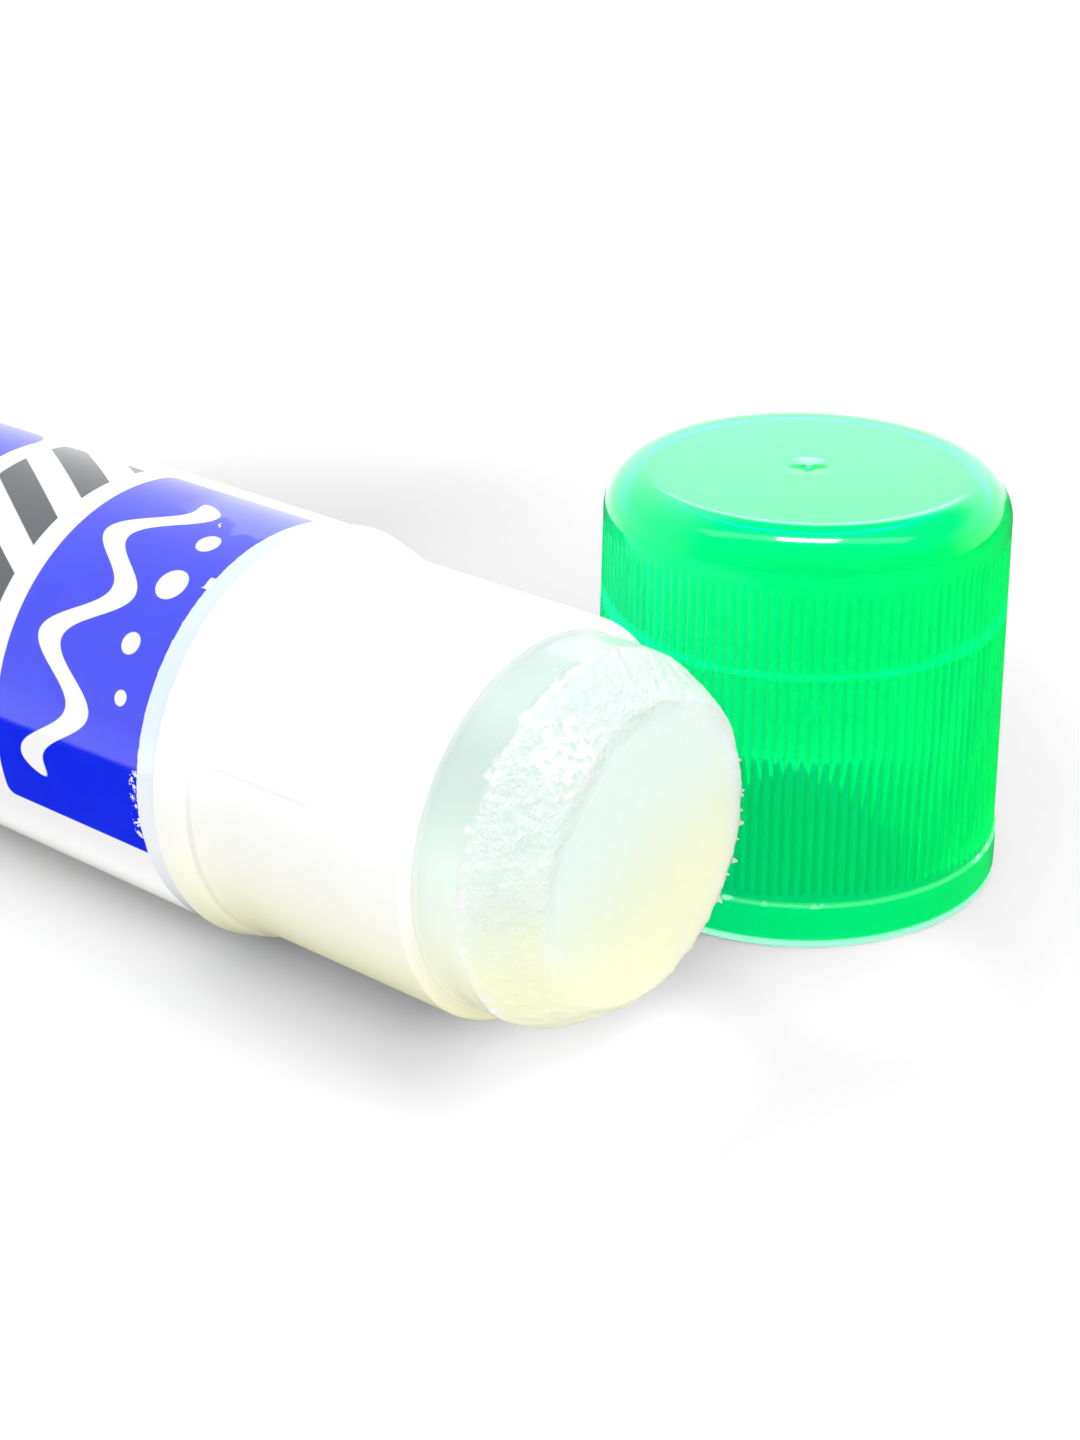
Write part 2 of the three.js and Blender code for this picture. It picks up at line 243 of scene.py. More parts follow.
class StageSettings(bpy.types.PropertyGroup):
    """The floor, the lamps and the camera."""

    key: amount("Key lamp", 1.0, "Watts")
    front: amount("Front fill", 0.4, "Watts")
    low: amount("Low fill", 0.17, "Watts")
    spark: amount("Overhead spark", 12.0, "Watts")
    strip: amount("Overhead strip", 1.4, "Watts")
    ambient: amount("Ambient", 0.74, "Level of the surrounding light")
    mirrored: amount("Mirrored surroundings", 2.0, "Bright side that glossy faces mirror")
    backdrop_edge: amount("Backdrop edge", 4.5, "Extra level at the backdrop's edge, in glossy faces only")
    floor_colour: colour("Floor", 0.76, 0.76, 0.76, "The pale floor")
    floor_lift: amount("Floor lift", 0.03, "White added near the object")
    under_cap: amount("Light under the cap", 4.4, "White that shows through the cap")
    through_cap: amount("Light behind the cap", 3.9, "Level that shows through the cap")


# Meshes


def turned(points, steps, closed=True):
    """A bmesh spun round the X axis from an outline of (along, radius) points."""
    bm = bmesh.new()
    row = [bm.verts.new((along, 0.0, radius)) for along, radius in points]
    pairs = list(zip(row, row[1:])) + ([(row[-1], row[0])] if closed else [])
    lines = [bm.edges.new(pair) for pair in pairs]
    bmesh.ops.spin(
        bm, geom=row + lines, cent=(0, 0, 0), axis=(1, 0, 0), angle=TURN, steps=steps, use_merge=True
    )
    bmesh.ops.remove_doubles(bm, verts=bm.verts[:], dist=SAME_PLACE / 2)
    bmesh.ops.recalc_face_normals(bm, faces=bm.faces[:])
    return bm


def around(co):
    """Distance from the X axis, and the angle round it from +Y."""
    return math.hypot(co.y, co.z), math.atan2(co.z, co.y)


def ring_edges(bm, along, radius):
    """The edges of the ring at this place on a turned piece."""

    def on_ring(v):
        off_x, off_axis = v.co.x - along, around(v.co)[0] - radius
        return abs(off_x) < 2 * SAME_PLACE and abs(off_axis) < 2 * SAME_PLACE

    return [e for e in bm.edges if on_ring(e.verts[0]) and on_ring(e.verts[1])]


def rounded(bm, rings, segments=4):
    """Bevels the rings at these (along, radius, width) places."""
    for along, radius, width in rings:
        bmesh.ops.bevel(
            bm,
            geom=ring_edges(bm, along, radius),
            offset=width,
            offset_type="OFFSET",
            segments=segments,
            profile=0.5,
            affect="EDGES",
            material=-1,
        )


def moved_out(v, by):
    """Moves a vertex away from the X axis by this length."""
    scale = 1 + by / around(v.co)[0]
    v.co.y *= scale
    v.co.z *= scale


def fluted(bm, radius_from, start, end, sizes, deep_end=-1.0):
    """Presses the fine ribs' grooves into the outer wall of a turned piece, deeper up to deep_end."""
    fade = 0.5 * MM
    for v in bm.verts:
        radius, angle = around(v.co)
        if radius < radius_from or not start - SAME_PLACE <= v.co.x <= end + SAME_PLACE:
            continue
        end_fade = max(0.0, min(1.0, (v.co.x - start) / fade, (end - v.co.x) / fade))
        groove = (0.5 + 0.5 * math.cos(angle * sizes.rib_count)) ** 2
        deeper = 1.5 if v.co.x < deep_end else 1.0
        moved_out(v, -sizes.rib_depth * end_fade * groove * deeper)


def finished(bm, name, material, body, nodes, place, sharp=40):
    """Makes the piece's object at its place, ties it to its body, and hides the CAD nodes that it replaces.
    """
    bmesh.ops.transform(bm, matrix=place, verts=bm.verts[:])
    mesh = bpy.data.meshes.new(name)
    bm.to_mesh(mesh)
    bm.free()
    mesh.shade_smooth()
    mesh.set_sharp_from_angle(angle=math.radians(sharp))
    mesh.materials.append(material)
    piece = bpy.data.objects.new(name, mesh)
    bpy.context.scene.collection.objects.link(piece)
    shading = piece.modifiers.new("even shading", "WEIGHTED_NORMAL")
    shading.keep_sharp = True
    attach(piece, body)
    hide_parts(*nodes)
    return piece


# Material helpers


class Value:
    """What a node puts out. Plain signs between two values, or a value and a number, make Math nodes."""

    def __init__(self, socket):
        self.socket = socket
        self.tree = socket.id_data

    def __add__(self, other):
        return maths("ADD", self, other)

    def __radd__(self, other):
        return maths("ADD", other, self)

    def __sub__(self, other):
        return maths("SUBTRACT", self, other)

    def __rsub__(self, other):
        return maths("SUBTRACT", other, self)

    def __mul__(self, other):
        return maths("MULTIPLY", self, other)

    def __truediv__(self, other):
        return maths("DIVIDE", self, other)

    def __pow__(self, power):
        return maths("POWER", self, power)

    def __abs__(self):
        return maths("ABSOLUTE", self)


def new_node(kind, *values):
    """A shader node in the tree that these values come from."""
    tree = next(value.tree for value in values if isinstance(value, Value))
    return tree.nodes.new(f"ShaderNode{kind}")


def plug(socket, value):
    """Links a socket, or sets its value."""
    if isinstance(value, Value):
        socket.id_data.links.new(value.socket, socket)
    else:
        socket.default_value = value


def values_of(sockets):
    """A node's outputs as values, by name."""
    return {socket.name: Value(socket) for socket in sockets}


def linked_to(socket):
    """The value that feeds this socket."""
    return Value(socket.links[0].from_socket)


def maths(operation, *values, clamp=False):
    """A Math node over these values."""
    node = new_node("Math", *values)
    node.operation = operation
    node.use_clamp = clamp
    for socket, value in zip(node.inputs, values):
        plug(socket, value)
    return Value(node.outputs[0])


def highest(first, *others):
    """The highest of these values."""
    for other in others:
        first = maths("MAXIMUM", first, other)
    return first


def distance(first, second):
    """The long side of a right angle with these two sides."""
    return maths("SQRT", first ** 2.0 + second ** 2.0)


def ramped(value, low, high):
    """0 below low, 1 above high, smooth between; it falls where low is above high."""
    node = new_node("MapRange", value)
    node.interpolation_type = "SMOOTHSTEP"
    plug(node.inputs["Value"], value)
    plug(node.inputs["From Min"], low)
    plug(node.inputs["From Max"], high)
    return Value(node.outputs["Result"])


def within(value, outer_low, inner_low, inner_high, outer_high):
    """1 between the inner limits, 0 outside the outer ones, smooth between."""
    return ramped(value, outer_low, inner_low) * ramped(value, outer_high, inner_high)


def mixed(factor, first, second):
    """A colour between two."""
    node = new_node("Mix", factor)
    node.data_type = "RGBA"
    plug(node.inputs[0], factor)
    for index, value in ((6, first), (7, second)):
        plug(node.inputs[index], value if isinstance(value, Value) else (*value, 1.0))
    return Value(node.outputs[2])


def grained(vector, scale, detail=3.0, roughness=0.5):
    """A noise value."""
    node = new_node("TexNoise", vector)
    plug(node.inputs["Vector"], vector)
    node.inputs["Scale"].default_value = scale
    node.inputs["Detail"].default_value = detail
    node.inputs["Roughness"].default_value = roughness
    return Value(node.outputs["Fac"])


def swing(vector, scale, width, detail=3.0):
    """A noise value that swings about zero."""
    return (grained(vector, scale, detail) - 0.5) * width


def placed(tree, origin, turn=(0, 0, 0)):
    """Object coordinates seen from a place on the piece."""
    source = tree.nodes.new("ShaderNodeTexCoord")
    node = tree.nodes.new("ShaderNodeMapping")
    node.vector_type = "TEXTURE"
    node.inputs["Location"].default_value = origin
    node.inputs["Rotation"].default_value = turn
    tree.links.new(source.outputs["Object"], node.inputs["Vector"])
    return Value(node.outputs["Vector"])


def stretched(vector, turn, scale):
    """A vector turned and stretched, for grain that runs one way."""
    node = new_node("Mapping", vector)
    plug(node.inputs["Vector"], vector)
    node.inputs["Rotation"].default_value = turn
    node.inputs["Scale"].default_value = scale
    return Value(node.outputs["Vector"])


def parted(vector):
    """The three parts of a vector."""
    node = new_node("SeparateXYZ", vector)
    plug(node.inputs[0], vector)
    return [Value(socket) for socket in node.outputs]


def light_path(tree):
    """Which kind of ray looks at the surface."""
    return values_of(tree.nodes.new("ShaderNodeLightPath").outputs)


def shader_group(name, inputs, outputs):
    """Makes a shader group of a function that fills it, built when it is first used."""

    def made_by(fill):
        def group():
            tree = bpy.data.node_groups.get(name)
            if tree is None:
                tree = bpy.data.node_groups.new(name, "ShaderNodeTree")
                add_socket = tree.interface.new_socket
                for label, kind, value in inputs:
                    socket = add_socket(label, in_out="INPUT", socket_type=f"NodeSocket{kind}")
                    if value is not None:
                        socket.default_value = value
                for label, kind in outputs:
                    add_socket(label, in_out="OUTPUT", socket_type=f"NodeSocket{kind}")
                take = values_of(tree.nodes.new("NodeGroupInput").outputs)
                fill(take, tree.nodes.new("NodeGroupOutput").inputs)
            return tree

        return group

    return made_by


def used(group, **values):
    """A group placed in a material, its inputs set by name: its outputs."""
    node = new_node("Group", *values.values())
    node.node_tree = group()
    for label, value in values.items():
        socket = node.inputs[label.replace("_", " ")]
        if not isinstance(value, Value) and socket.type == "RGBA":
            value = (*value, 1.0)
        plug(socket, value)
    return values_of(node.outputs)


@shader_group(
    "moulded skin",
    inputs=[
        ("Vector", "Vector", None),
        ("Plain", "Color", None),
        ("Deep", "Color", None),
        ("Gloss", "Float", 0.3),
        ("Spread", "Float", 0.06),
    ],
    outputs=[("Color", "Color"), ("Roughness", "Float"), ("Height", "Float")],
)
def moulded_skin(take, give):
    """Moulded plastic: a cloudy colour, a slightly uneven gloss and a very fine grain."""
    vector = take["Vector"]
    clouds = ramped(grained(vector, 90.0, 4.0), 0.35, 0.7)
    plug(give["Color"], mixed(clouds, take["Plain"], take["Deep"]))
    plug(give["Roughness"], take["Gloss"] + swing(vector, 240.0, take["Spread"]))
    plug(give["Height"], grained(vector, 2600.0, 2.0))


@shader_group(
    "fine scuffs",
    inputs=[("Vector", "Vector", None), ("Amount", "Float", 0.5)],
    outputs=[("Mask", "Float")],
)
def fine_scuffs(take, give):
    """Thin scratches and specks of dust, as a mask."""
    vector = take["Vector"]
    lines = grained(stretched(vector, (0.3, 0.5, 0.4), (60, 900, 900)), 1.0, 1.0)
    scratches = ramped(lines, 0.70, 0.78) * ramped(grained(vector, 120.0, 2.0), 0.52, 0.72)
    specks = ramped(grained(vector, 1500.0, 1.0), 0.78, 0.84)
    plug(give["Mask"], maths("MULTIPLY", highest(scratches, specks), take["Amount"], clamp=True))


@shader_group(
    "rounded patch",
    inputs=[
        ("Along", "Float", 0.0),
        ("Around", "Float", 0.0),
        ("Middle Along", "Float", 0.0),
        ("Middle Around", "Float", 0.0),
        ("Half Along", "Float", 0.0),
        ("Half Around", "Float", 0.0),
        ("Corner", "Float", 0.0),
    ],
    outputs=[("Mask", "Float")],
)
def rounded_patch(take, give):
    """A patch with rounded corners on a flat pair of coordinates, as a mask."""
    sides = [
        abs(take[way] - take[f"Middle {way}"]) - (take[f"Half {way}"] - take["Corner"])
        for way in ("Along", "Around")
    ]
    far = distance(*[highest(side, 0.0) for side in sides])
    near = maths("MINIMUM", highest(*sides), 0.0)
    plug(give["Mask"], ramped(far + near - take["Corner"], 0.06, -0.06))


@shader_group(
    "rib lines",
    inputs=[("First", "Float", 0.0), ("Second", "Float", 0.0), ("Count", "Float", 120.0)],
    outputs=[("Mask", "Float")],
)
def groove_shade(take, give):
    """A mask for painted shade along the ribs: 1 in the middle of a groove, 0 on a rib."""
    wave = maths("COSINE", maths("ARCTAN2", take["Second"], take["First"]) * take["Count"])
    plug(give["Mask"], ramped(wave, -0.2, 0.9))


def new_material(name, **settings):
    """A material with its shader's plain sockets set: the material and the shader."""
    material = bpy.data.materials.new(name)
    material.use_nodes = True
    shader = material.node_tree.nodes["Principled BSDF"]
    for label, value in settings.items():
        shader.inputs[label.replace("_", " ")].default_value = value
    return material, shader


def bumped(shader, height, strength, depth):
    """A bump on the shader."""
    node = new_node("Bump", height)
    node.inputs["Strength"].default_value = strength
    node.inputs["Distance"].default_value = depth
    plug(node.inputs["Height"], height)
    plug(shader.inputs["Normal"], Value(node.outputs["Normal"]))


def bounced_neutral(shader, grey):
    """The light that this material throws on its surroundings is neutral."""
    thrown = light_path(shader.id_data)["Diffuse Depth"]
    base = shader.inputs["Base Color"]
    plug(base, mixed(thrown, linked_to(base), (grey, grey, grey)))


def thrown_glow(shader, glow):
    """Links a painted glow, an emission whose light on the surroundings is neutral."""
    thrown = light_path(shader.id_data)["Diffuse Depth"]
    plug(shader.inputs["Emission Color"], mixed(thrown, glow, (0.04, 0.04, 0.04)))


def skin_material(name, plain, deep, gloss, origin, **settings):
    """A moulded plastic with light wear."""
    material, shader = new_material(name, **settings)
    vector = placed(shader.id_data, origin)
    skin = used(moulded_skin, Vector=vector, Plain=plain, Deep=deep, Gloss=gloss)
    worn = used(fine_scuffs, Vector=vector, Amount=0.25)["Mask"]
    plug(shader.inputs["Base Color"], skin["Color"])
    plug(shader.inputs["Roughness"], skin["Roughness"] + worn * 0.3)
    bumped(shader, skin["Height"], 0.06, 0.02 * MM)
    return material, shader


# Materials


def barrel_plastic(sizes):
    """Satin white plastic, slightly translucent, with a painted yellowish shade on the neck's underside."""
    material, shader = skin_material(
        "white tube plastic",
        sizes.plastic,
        sizes.plastic_shade,
        0.34,
        STICK_MOUTH,
        Subsurface_Weight=0.25,
        Subsurface_Radius=(1.0, 1.0, 0.85),
        Subsurface_Scale=1.2 * MM,
        IOR=1.49,
    )
    base = shader.inputs["Base Color"]
    x, y, z = parted(placed(shader.id_data, STICK_MOUTH))
    # painted shade: a yellowish tint on the underside of the neck
    low = ramped(z, 3.0 * MM, -13 * MM) * ramped(x, -30 * MM, -18 * MM)
    tint = mixed(low, linked_to(base), sizes.painted_underside_tint)
    # the mould's parting line along the neck, and painted shade in the crease where the shoulder meets it,
    # on the lower side
    off = abs(maths("ARCTAN2", z, y) - sizes.key_angle)
    parting = ramped(off, 0.012, 0.003) * within(x, -18 * MM, -16 * MM, -9 * MM, -7.5 * MM) * 0.35
    ring = within(x, -19.05 * MM, -18.85 * MM, -18.7 * MM, -18.5 * MM) * ramped(z, 6 * MM, -1 * MM) * 0.4
    plug(base, mixed(highest(parting, ring), tint, (0.70, 0.71, 0.66)))
    bounced_neutral(shader, 0.9)
    return material


def green_plastic(name, sizes, origin):
    """Translucent green plastic, the same on the cap and the knob."""
    return skin_material(
        name,
        sizes.plastic,
        sizes.plastic_deep,
        0.09,
        origin,
        Transmission_Weight=0.68,
        Coat_Weight=0.08,
        Coat_Roughness=0.02,
        IOR=1.44,
        Specular_Tint=(0.04, 1.0, 0.18, 1.0),
        Emission_Strength=1.0,
    )


def knob_plastic(sizes):
    """The knob's plastic, with a faint painted glow."""
    material, shader = green_plastic("translucent knob plastic", sizes, STICK_MOUTH)
    thrown_glow(shader, (0.0, 0.06, 0.018))
    bounced_neutral(shader, 0.92)
    return material


def cap_plastic(sizes):
    """The cap's plastic: painted shade in the grooves, over the lower half and along the rounded edge,
    painted highlights on the edges, and a painted glow.
    """
    material, shader = green_plastic("translucent cap plastic", sizes, CAP_MOUTH)
    base, polish = shader.inputs["Base Color"], shader.inputs["Roughness"]
    vector = placed(shader.id_data, CAP_MOUTH)
    x, y, z = parted(vector)
    from_axis = distance(x, y)
    outside = ramped(from_axis, 14.5 * MM, 14.6 * MM)
    above_collar = ramped(z, sizes.rib_start, sizes.rib_start + 0.4 * MM)
    ribbed = above_collar * ramped(z, sizes.rib_end, sizes.rib_end - 1.2 * MM)
    # painted shade: the wall below the deep ribs is darker, and the grooves darker still, most on the lower
    # wall
    low = ramped(z + swing(vector, 300.0, 1 * MM), sizes.deep_ribs_end, 12 * MM) * above_collar
    lines = used(groove_shade, First=x, Second=y, Count=float(sizes.rib_count))["Mask"]
    tint = mixed(low * 0.20, linked_to(base), sizes.groove)
    tint = mixed(lines * ((low * 0.36 + 0.22) * ribbed) * outside, tint, sizes.groove)
    # painted shade: a deeper green band along the lower part of the rounded edge
    shade = within(z, 28.3 * MM, 29.1 * MM, 29.3 * MM, 30.1 * MM)
    tint = mixed(shade * ramped(from_axis, 13.4 * MM, 13.6 * MM) * 0.55, tint, sizes.groove)
    # painted light: the wall is bluer on the left and yellower on the right
    beside = x * 0.77 + y * 0.63
    on_wall = ramped(z, 30.4 * MM, 28.0 * MM) * 0.5
    tint = mixed(ramped(beside, 2 * MM, -15 * MM) * on_wall, tint, (0.0, 1.0, 0.62))
    tint = mixed(ramped(beside, 2 * MM, 15 * MM) * on_wall, tint, (0.0, 1.0, 0.10))
    # painted highlights on the edges of the collar and of the rim, speckled on the collar, with a painted
    # glow
    specks = ramped(grained(vector, 700.0, 2.0), 0.56, 0.70) * 0.7 + 0.13
    collar = within(z, 3.2 * MM, 3.4 * MM, 3.5 * MM, 3.75 * MM) * specks
    rim = within(z, 0.0, 0.2 * MM, 0.55 * MM, 0.75 * MM) * 0.8
    edges = highest(collar, rim) * outside
    tint = mixed(edges, tint, sizes.edge_light)
    # painted glow: stronger on the lower wall and stronger again on the collar
    glow = mixed(low, sizes.glow, (0.0, 0.18, 0.035))
    glow = mixed(ramped(z, 3.6 * MM, 3.2 * MM) * 0.8, glow, (0.0, 0.26, 0.06))
    thrown_glow(shader, mixed(edges, glow, (0.30, 0.85, 0.48)))
    # the cut sprue in the middle of the top, with painted dark reflections on both sides of it and a
    # painted highlight on its tip
    on_top = ramped(z, sizes.cap_height - 0.8 * MM, sizes.cap_height - 0.4 * MM)
    across = ramped(abs(beside), 2.0 * MM, 0.7 * MM)
    ahead = ramped(abs(y * 0.77 - x * 0.63), 0.75 * MM, 0.2 * MM)
    painted_dimple_shade = across * ahead * on_top * 0.9
    tint = mixed(painted_dimple_shade, tint, (0.0, 0.30, 0.10))
    tint = mixed(ramped(from_axis, 0.42 * MM, 0.3 * MM) * on_top, tint, (0.95, 1.0, 0.97))
    plug(base, tint)
    plug(polish, highest(linked_to(polish), painted_dimple_shade * 0.9))
    # the ribs shine less than the smooth top
    shine = ramped(z, 27.2 * MM, 28.6 * MM) * 0.075 + 0.03
    plug(shader.inputs["Coat Weight"], shine * (1.0 - painted_dimple_shade))
    bounced_neutral(shader, 0.6)
    return material


def natural_plastic(sizes, name):
    """Unpainted moulded plastic."""
    material, _ = skin_material(
        name,
        sizes.natural,
        sizes.natural_shade,
        0.42,
        STICK_MOUTH,
        Subsurface_Weight=0.1,
        Subsurface_Scale=1 * MM,
        IOR=1.49,
    )
    return material


def printed_film(sizes):
    """Glossy film: white ground, blue panels, slanted bars, and plain shapes in white."""
    material, shader = new_material("printed label film", IOR=1.5, Emission_Strength=1.0)
    vector = placed(shader.id_data, STICK_MOUTH, turn=(sizes.panel_angle, 0, 0))
    x, y, z = parted(vector)
    # millimetres along the stick from the mouth, and round it from the middle of the panels
    along = x * (-1 / MM)
    turn = maths("ARCTAN2", z, y) * (sizes.film_radius / MM)
    ripple = grained(vector, 1500.0, 2.0) - 0.5

    def patch(middle_along, middle_turn, half_along, half_turn, corner, place=along):
        return used(
            rounded_patch,
            Along=place,
            Around=turn,
            Middle_Along=middle_along,
            Middle_Around=middle_turn,
            Half_Along=half_along,
            Half_Around=half_turn,
            Corner=corner,
        )["Mask"]

    def dot(middle_along, middle_turn, radius):
        return patch(middle_along, middle_turn, radius, radius, radius)

    def squiggle(middle_along, wave, height, half_turn, weight):
        bent = along - maths("SINE", turn * (TURN / wave)) * height
        return patch(middle_along, 0, weight, half_turn, weight, bent)

    start, panel_end = sizes.print_start / MM, sizes.panel_end / MM
    second_start, second_end = sizes.second_start / MM, sizes.second_end / MM
    half = sizes.panel_half / MM
    # the front panel runs on under the cut at its start, so that its corners there are square
    front = patch((start - 4 + panel_end) / 2, 0, (panel_end - start + 4) / 2, half, 0.7)
    cut = ramped(along + ripple * 0.25, start - 0.03, start + 0.05)
    second = patch((second_start + second_end) / 2, 0, (second_end - second_start) / 2, half, 2.2)
    blue = highest(front * cut, second)

    # plain white shapes in the panels: squiggles, dots and a ring
    shapes = highest(
        squiggle(31.6, 8.8, 2.2, 12.4, 1.15),
        dot(26.3, -8.2, 0.9),
        dot(26.0, -4.0, 1.25),
        dot(26.4, 0.9, 0.8),
        dot(25.6, 4.6, 0.55),
        dot(62, -3.5, 7.5) - dot(62, -3.5, 5.6),
        dot(62, -3.5, 2.6),
        squiggle(77.5, 10.5, 2.4, 11.5, 1.1),
    )

    # slanted grey bars between the panels, and a block of thin ones on the far side
    stripes = ramped(maths("PINGPONG", turn + along * 0.55 + 401.5, 2.6), 1.15, 1.27)
    bars = stripes * patch(44.0, 0, 4.4, half - 0.6, 0.4)
    thin = ramped(maths("PINGPONG", along, 1.3), 0.85, 0.93)
    grey = highest(bars, thin * patch(60, -30, 18, 7.5, 0.5) * 0.75)

    # chips where the print has worn off, and the clear margin of the film
    chips = ramped(grained(vector, 1900.0, 3.0, 0.7), 0.50, 0.56)
    ragged = along + ripple * 1.6
    worn = highest(
        chips * patch(start, 11.6, 0.75, 2.6, 0.7),
        patch(start + 0.05, -5.0, 0.35, 0.5, 0.12, ragged),
        patch(27.4, -10.4, 0.13, 0.28, 0.12, ragged),
    )
    margin = ramped(along, start + 0.05, start - 0.05)

    cloudy = ramped(grained(vector, 260.0, 3.0), 0.4, 0.75) * 0.12
    deep_blue = mixed(cloudy, sizes.blue, (0.03, 0.07, 0.88))
    # painted reflection: a paler patch with a wavy edge at the front panel's upper end
    painted_sheen = ramped(turn + swing(vector, 330.0, 5.0, 2.0), -10.4, -10.9) * ramped(along, 33.0, 30.0)
    deep_blue = mixed(painted_sheen * 0.16, deep_blue, (0.62, 0.70, 1.0))
    inked = blue * maths("SUBTRACT", 1.0, highest(shapes, worn), clamp=True)
    paint = mixed(inked, mixed(grey, sizes.paper, sizes.grey), deep_blue)
    paint = mixed(margin * (ramped(turn, 12.5, 4.0) * 0.75 + 0.25), paint, sizes.margin)
    plug(shader.inputs["Base Color"], paint)
    # painted light: a glow on the lower side that stands for the light the white table throws on it
    painted_bounce = within(turn, 15.5, 20.5, 24.0, 28.0) * (1.0 - margin) * 0.28
    plug(shader.inputs["Emission Color"], mixed(painted_bounce, (0, 0, 0), (0.96, 1.0, 0.94)))
    scuffs = used(fine_scuffs, Vector=vector, Amount=0.3)["Mask"]
    plug(shader.inputs["Roughness"], scuffs * 0.4 + 0.09)
    bumped(shader, grained(vector, 160.0, 2.0), 0.12, 0.06 * MM)
    return material


def glue_paste(sizes):
    """Pale translucent glue: its own uneven tint with painted shade above and painted yellow light below,
    and painted glints on the wet lumps of the torn bevel.
    """
    material, shader = new_material(
        "worn glue paste",
        Subsurface_Weight=0.8,
        Subsurface_Radius=(1.0, 1.0, 0.8),
        Subsurface_Scale=4 * MM,
        Coat_Weight=0.25,
        Coat_Roughness=0.12,
        IOR=1.45,
        Emission_Strength=1.0,
    )
    vector = placed(shader.id_data, STICK_MOUTH)
    x, y, z = parted(vector)
    in_front = x * (1 / MM)
    height = (z + y * -0.25) * (1 / MM) + swing(vector, 70.0, 6.0)
    # partly the glue's own tint and partly painted shade: darker and cooler above
    tint = mixed(ramped(height, 3.5, 13.0), sizes.middle, sizes.upper)

    # the torn band between the side and the worn face, from the two circles that bound it
    from_face = distance(y - sizes.face_shift_y, z - sizes.face_shift_z)
    beyond = (from_face - sizes.face_radius) / MM + swing(vector, 260.0, 2.4, 2.0)
    band = ramped(beyond, -1.3, 0.5) * ramped(in_front, 3.5, 4.4)
    face = ramped(beyond, 0.9, -1.5) * ramped(in_front, 5.0, 6.0)
    tint = mixed(band * 0.6, tint, sizes.band)
    tint = mixed(face, tint, sizes.face_upper)
    # painted light: yellower over the lower part
    tint = mixed(ramped(height - (1.0 - face) * 3.0, 5.0, -9.0), tint, sizes.lower)

    # beads along the ridge, torn lumps on the band, and a wet cluster that shines, with painted highlights
    # on them
    beads = ramped(grained(vector, 1500.0, 2.0), 0.46, 0.60)
    beads = beads * ramped(grained(vector, 420.0, 1.0), 0.40, 0.60)
    ridge = within(in_front + swing(vector, 350.0, 1.8), 3.5, 3.7, 4.0, 4.25)
    dense = ridge * beads * ramped(beyond, 1.6, 2.4)
    near = new_node("VectorMath", vector)
    near.operation = "DISTANCE"
    plug(near.inputs[0], vector)
    near.inputs[1].default_value = sizes.cluster
    wet = ramped(Value(near.outputs["Value"]), 4.4 * MM, 1.0 * MM)
    upper = ramped(z, -9 * MM, 3 * MM)
    lumpy = grained(vector, 1500.0, 5.0, 0.6)
    level = 0.60 - wet * 0.18
    torn = ramped(lumpy, level, level + 0.05) * band * upper
    rim = ramped(distance(y, z), 12.4 * MM, 12.8 * MM) * ramped(in_front, 4.6, 5.2)
    rim = rim * ramped(grained(vector, 1900.0, 1.0), 0.48, 0.58)
    specks = ramped(grained(vector, 1300.0, 1.0), 0.77, 0.80)
    # painted highlights: glints in white on the lumps, the beads, the rim and specks
    white = highest(torn * (wet * 0.6 + 0.35), specks * 0.5, highest(dense, rim) * 0.8)
    # the band's inner brink is paler
    brink = within(beyond, -1.7, -0.8, -0.3, 0.6) * upper * 0.6
    tint = mixed(brink, tint, (0.84, 1.0, 0.93))
    plug(shader.inputs["Base Color"], mixed(white, tint, sizes.wet))
    plug(shader.inputs["Roughness"], 0.36 - highest(torn, wet) * 0.22)
    ripples = lumpy * band * (upper * 0.8 + 0.08)
    streaks = grained(stretched(vector, (math.radians(-38), 0, 0), (300, 90, 900)), 1.0, 2.0)
    bumped(shader, ripples + streaks * face * 0.10, 0.9, 0.8 * MM)
    # painted glow: an emission that stands for light that the block carries to the crease at the tube's
    # lip, a little more towards the bottom
    glow = ramped(in_front, 0.55, 0.0) * 0.20 + ramped(height, -2.0, -12.0) * 0.05 + 0.02
    plug(shader.inputs["Emission Color"], mixed(glow, (0, 0, 0), (1, 1, 0.9)))
    bounced_neutral(shader, 0.85)
    return material


# Pieces


